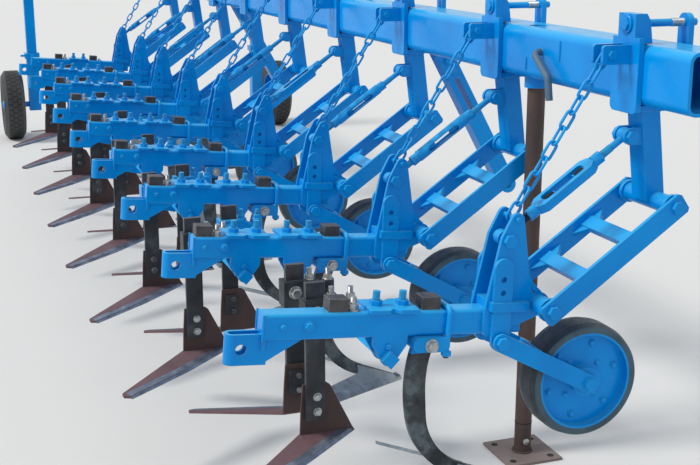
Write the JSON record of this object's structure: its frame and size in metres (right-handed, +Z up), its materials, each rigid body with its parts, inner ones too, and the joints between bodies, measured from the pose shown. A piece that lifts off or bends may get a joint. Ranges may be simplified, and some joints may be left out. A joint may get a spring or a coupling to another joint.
{
  "type": "row crop cultivator",
  "caption": "Mounted row crop cultivator: square toolbar with parallel-linkage hoe sections, standing on a pipe stand and an end-tow transport carriage.",
  "frame": {"origin": "on the ground under the middle of the machine's box", "axes": "+Z up, +Y the direction of field travel, +X along the toolbar towards the stand"},
  "size_m": [7.2749, 2.2684, 1.347],
  "materials": {
    "blue_paint": "gloss",
    "dark_steel": "satin",
    "rubber": "matte",
    "rusty_steel": "matte"
  },
  "bodies": {
    "toolbar": {"toolbar": "blue_paint", "front_brackets": "blue_paint", "chains": "blue_paint", "wheel_arms": "blue_paint", "carriage_frame": "blue_paint"},
    "stand": {"stand_leg": "rusty_steel"},
    "lower_arm_1": {"lower_link_1": "blue_paint"},
    "upper_arm_1": {"upper_link_1": "blue_paint"},
    "gang_1": {"gang_1": "blue_paint", "tools_1": "dark_steel"},
    "copy_wheel_1": {"copy_wheel_1": "blue_paint"},
    "lower_arm_2": {"lower_link_2": "blue_paint"},
    "upper_arm_2": {"upper_link_2": "blue_paint"},
    "gang_2": {"gang_2": "blue_paint", "tools_2": "dark_steel"},
    "copy_wheel_2": {"copy_wheel_2": "blue_paint"},
    "lower_arm_3": {"lower_link_3": "blue_paint"},
    "upper_arm_3": {"upper_link_3": "blue_paint"},
    "gang_3": {"gang_3": "blue_paint", "tools_3": "dark_steel"},
    "copy_wheel_3": {"copy_wheel_3": "blue_paint"},
    "lower_arm_4": {"lower_link_4": "blue_paint"},
    "upper_arm_4": {"upper_link_4": "blue_paint"},
    "gang_4": {"gang_4": "blue_paint", "tools_4": "dark_steel"},
    "copy_wheel_4": {"copy_wheel_4": "blue_paint"},
    "lower_arm_5": {"lower_link_5": "blue_paint"},
    "upper_arm_5": {"upper_link_5": "blue_paint"},
    "gang_5": {"gang_5": "blue_paint", "tools_5": "dark_steel"},
    "copy_wheel_5": {"copy_wheel_5": "blue_paint"},
    "lower_arm_6": {"lower_link_6": "blue_paint"},
    "upper_arm_6": {"upper_link_6": "blue_paint"},
    "gang_6": {"gang_6": "blue_paint", "tools_6": "dark_steel"},
    "copy_wheel_6": {"copy_wheel_6": "blue_paint"},
    "lower_arm_7": {"lower_link_7": "blue_paint"},
    "upper_arm_7": {"upper_link_7": "blue_paint"},
    "gang_7": {"gang_7": "blue_paint", "tools_7": "dark_steel"},
    "copy_wheel_7": {"copy_wheel_7": "blue_paint"},
    "lower_arm_8": {"lower_link_8": "blue_paint"},
    "upper_arm_8": {"upper_link_8": "blue_paint"},
    "gang_8": {"gang_8": "blue_paint", "tools_8": "dark_steel"},
    "copy_wheel_8": {"copy_wheel_8": "blue_paint"},
    "lower_arm_9": {"lower_link_9": "blue_paint"},
    "upper_arm_9": {"upper_link_9": "blue_paint"},
    "gang_9": {"gang_9": "blue_paint", "tools_9": "dark_steel"},
    "copy_wheel_9": {"copy_wheel_9": "blue_paint"},
    "carriage_wheel_near": {"carriage_rim_near": "blue_paint", "carriage_tyre_near": "rubber"},
    "carriage_wheel_far": {"carriage_rim_far": "blue_paint", "carriage_tyre_far": "rubber"}
  },
  "joints": [
    {"name": "stand_slide", "type": "slide", "parent": "toolbar", "child": "stand", "axis": [0, 0, 1], "range_m": [0, 0.33]},
    {"name": "lift_1", "type": "hinge", "parent": "toolbar", "child": "lower_arm_1", "pos_m": [3.4075, 0.03919, 0.905], "axis": [-1, 0, 0], "range_deg": [0, 45], "deforming": ["chains"]},
    {"name": "turnbuckle_1", "type": "hinge", "parent": "toolbar", "child": "upper_arm_1", "pos_m": [3.4075, -0.04081, 1.063], "axis": [-1, 0, 0], "range_deg": [0, 45]},
    {"name": "level_1", "type": "hinge", "parent": "lower_arm_1", "child": "gang_1", "pos_m": [3.4075, -0.27619, 0.68417], "axis": [1, 0, 0], "range_deg": [0, 45]},
    {"name": "copy_wheel_spin_1", "type": "hinge", "parent": "gang_1", "child": "copy_wheel_1", "pos_m": [3.4075, -0.13919, 0.47217], "axis": [1, 0, 0], "continuous": true},
    {"name": "lift_2", "type": "hinge", "parent": "toolbar", "child": "lower_arm_2", "pos_m": [2.7075, 0.03919, 0.905], "axis": [-1, 0, 0], "range_deg": [0, 45], "deforming": ["chains"]},
    {"name": "turnbuckle_2", "type": "hinge", "parent": "toolbar", "child": "upper_arm_2", "pos_m": [2.7075, -0.04081, 1.063], "axis": [-1, 0, 0], "range_deg": [0, 45]},
    {"name": "level_2", "type": "hinge", "parent": "lower_arm_2", "child": "gang_2", "pos_m": [2.7075, -0.27619, 0.68417], "axis": [1, 0, 0], "range_deg": [0, 45]},
    {"name": "copy_wheel_spin_2", "type": "hinge", "parent": "gang_2", "child": "copy_wheel_2", "pos_m": [2.7075, -0.13919, 0.47217], "axis": [1, 0, 0], "continuous": true},
    {"name": "lift_3", "type": "hinge", "parent": "toolbar", "child": "lower_arm_3", "pos_m": [2.0075, 0.03919, 0.905], "axis": [-1, 0, 0], "range_deg": [0, 45], "deforming": ["chains"]},
    {"name": "turnbuckle_3", "type": "hinge", "parent": "toolbar", "child": "upper_arm_3", "pos_m": [2.0075, -0.04081, 1.063], "axis": [-1, 0, 0], "range_deg": [0, 45]},
    {"name": "level_3", "type": "hinge", "parent": "lower_arm_3", "child": "gang_3", "pos_m": [2.0075, -0.27619, 0.68417], "axis": [1, 0, 0], "range_deg": [0, 45]},
    {"name": "copy_wheel_spin_3", "type": "hinge", "parent": "gang_3", "child": "copy_wheel_3", "pos_m": [2.0075, -0.13919, 0.47217], "axis": [1, 0, 0], "continuous": true},
    {"name": "lift_4", "type": "hinge", "parent": "toolbar", "child": "lower_arm_4", "pos_m": [1.3075, 0.03919, 0.905], "axis": [-1, 0, 0], "range_deg": [0, 45], "deforming": ["chains"]},
    {"name": "turnbuckle_4", "type": "hinge", "parent": "toolbar", "child": "upper_arm_4", "pos_m": [1.3075, -0.04081, 1.063], "axis": [-1, 0, 0], "range_deg": [0, 45]},
    {"name": "level_4", "type": "hinge", "parent": "lower_arm_4", "child": "gang_4", "pos_m": [1.3075, -0.27619, 0.68417], "axis": [1, 0, 0], "range_deg": [0, 45]},
    {"name": "copy_wheel_spin_4", "type": "hinge", "parent": "gang_4", "child": "copy_wheel_4", "pos_m": [1.3075, -0.13919, 0.47217], "axis": [1, 0, 0], "continuous": true},
    {"name": "lift_5", "type": "hinge", "parent": "toolbar", "child": "lower_arm_5", "pos_m": [0.6075, 0.03919, 0.905], "axis": [-1, 0, 0], "range_deg": [0, 45], "deforming": ["chains"]},
    {"name": "turnbuckle_5", "type": "hinge", "parent": "toolbar", "child": "upper_arm_5", "pos_m": [0.6075, -0.04081, 1.063], "axis": [-1, 0, 0], "range_deg": [0, 45]},
    {"name": "level_5", "type": "hinge", "parent": "lower_arm_5", "child": "gang_5", "pos_m": [0.6075, -0.27619, 0.68417], "axis": [1, 0, 0], "range_deg": [0, 45]},
    {"name": "copy_wheel_spin_5", "type": "hinge", "parent": "gang_5", "child": "copy_wheel_5", "pos_m": [0.6075, -0.13919, 0.47217], "axis": [1, 0, 0], "continuous": true},
    {"name": "lift_6", "type": "hinge", "parent": "toolbar", "child": "lower_arm_6", "pos_m": [-0.0925, 0.03919, 0.905], "axis": [-1, 0, 0], "range_deg": [0, 45], "deforming": ["chains"]},
    {"name": "turnbuckle_6", "type": "hinge", "parent": "toolbar", "child": "upper_arm_6", "pos_m": [-0.0925, -0.04081, 1.063], "axis": [-1, 0, 0], "range_deg": [0, 45]},
    {"name": "level_6", "type": "hinge", "parent": "lower_arm_6", "child": "gang_6", "pos_m": [-0.0925, -0.27619, 0.68417], "axis": [1, 0, 0], "range_deg": [0, 45]},
    {"name": "copy_wheel_spin_6", "type": "hinge", "parent": "gang_6", "child": "copy_wheel_6", "pos_m": [-0.0925, -0.13919, 0.47217], "axis": [1, 0, 0], "continuous": true},
    {"name": "lift_7", "type": "hinge", "parent": "toolbar", "child": "lower_arm_7", "pos_m": [-0.7925, 0.03919, 0.905], "axis": [-1, 0, 0], "range_deg": [0, 45], "deforming": ["chains"]},
    {"name": "turnbuckle_7", "type": "hinge", "parent": "toolbar", "child": "upper_arm_7", "pos_m": [-0.7925, -0.04081, 1.063], "axis": [-1, 0, 0], "range_deg": [0, 45]},
    {"name": "level_7", "type": "hinge", "parent": "lower_arm_7", "child": "gang_7", "pos_m": [-0.7925, -0.27619, 0.68417], "axis": [1, 0, 0], "range_deg": [0, 45]},
    {"name": "copy_wheel_spin_7", "type": "hinge", "parent": "gang_7", "child": "copy_wheel_7", "pos_m": [-0.7925, -0.13919, 0.47217], "axis": [1, 0, 0], "continuous": true},
    {"name": "lift_8", "type": "hinge", "parent": "toolbar", "child": "lower_arm_8", "pos_m": [-1.4925, 0.03919, 0.905], "axis": [-1, 0, 0], "range_deg": [0, 45], "deforming": ["chains"]},
    {"name": "turnbuckle_8", "type": "hinge", "parent": "toolbar", "child": "upper_arm_8", "pos_m": [-1.4925, -0.04081, 1.063], "axis": [-1, 0, 0], "range_deg": [0, 45]},
    {"name": "level_8", "type": "hinge", "parent": "lower_arm_8", "child": "gang_8", "pos_m": [-1.4925, -0.27619, 0.68417], "axis": [1, 0, 0], "range_deg": [0, 45]},
    {"name": "copy_wheel_spin_8", "type": "hinge", "parent": "gang_8", "child": "copy_wheel_8", "pos_m": [-1.4925, -0.13919, 0.47217], "axis": [1, 0, 0], "continuous": true},
    {"name": "lift_9", "type": "hinge", "parent": "toolbar", "child": "lower_arm_9", "pos_m": [-2.1925, 0.03919, 0.905], "axis": [-1, 0, 0], "range_deg": [0, 45], "deforming": ["chains"]},
    {"name": "turnbuckle_9", "type": "hinge", "parent": "toolbar", "child": "upper_arm_9", "pos_m": [-2.1925, -0.04081, 1.063], "axis": [-1, 0, 0], "range_deg": [0, 45]},
    {"name": "level_9", "type": "hinge", "parent": "lower_arm_9", "child": "gang_9", "pos_m": [-2.1925, -0.27619, 0.68417], "axis": [1, 0, 0], "range_deg": [0, 45]},
    {"name": "copy_wheel_spin_9", "type": "hinge", "parent": "gang_9", "child": "copy_wheel_9", "pos_m": [-2.1925, -0.13919, 0.47217], "axis": [1, 0, 0], "continuous": true},
    {"name": "carriage_wheel_spin_near", "type": "hinge", "parent": "toolbar", "child": "carriage_wheel_near", "pos_m": [-3.3825, 1.05919, 0.255], "axis": [0, 1, 0], "continuous": true},
    {"name": "carriage_wheel_spin_far", "type": "hinge", "parent": "toolbar", "child": "carriage_wheel_far", "pos_m": [-3.3825, -1.00081, 0.255], "axis": [0, 1, 0], "continuous": true}
  ],
  "couplings": [
    {"joint": "turnbuckle_1", "follows": "lift_1", "ratio": 1},
    {"joint": "level_1", "follows": "lift_1", "ratio": 1},
    {"joint": "turnbuckle_2", "follows": "lift_2", "ratio": 1},
    {"joint": "level_2", "follows": "lift_2", "ratio": 1},
    {"joint": "turnbuckle_3", "follows": "lift_3", "ratio": 1},
    {"joint": "level_3", "follows": "lift_3", "ratio": 1},
    {"joint": "turnbuckle_4", "follows": "lift_4", "ratio": 1},
    {"joint": "level_4", "follows": "lift_4", "ratio": 1},
    {"joint": "turnbuckle_5", "follows": "lift_5", "ratio": 1},
    {"joint": "level_5", "follows": "lift_5", "ratio": 1},
    {"joint": "turnbuckle_6", "follows": "lift_6", "ratio": 1},
    {"joint": "level_6", "follows": "lift_6", "ratio": 1},
    {"joint": "turnbuckle_7", "follows": "lift_7", "ratio": 1},
    {"joint": "level_7", "follows": "lift_7", "ratio": 1},
    {"joint": "turnbuckle_8", "follows": "lift_8", "ratio": 1},
    {"joint": "level_8", "follows": "lift_8", "ratio": 1},
    {"joint": "turnbuckle_9", "follows": "lift_9", "ratio": 1},
    {"joint": "level_9", "follows": "lift_9", "ratio": 1}
  ]
}
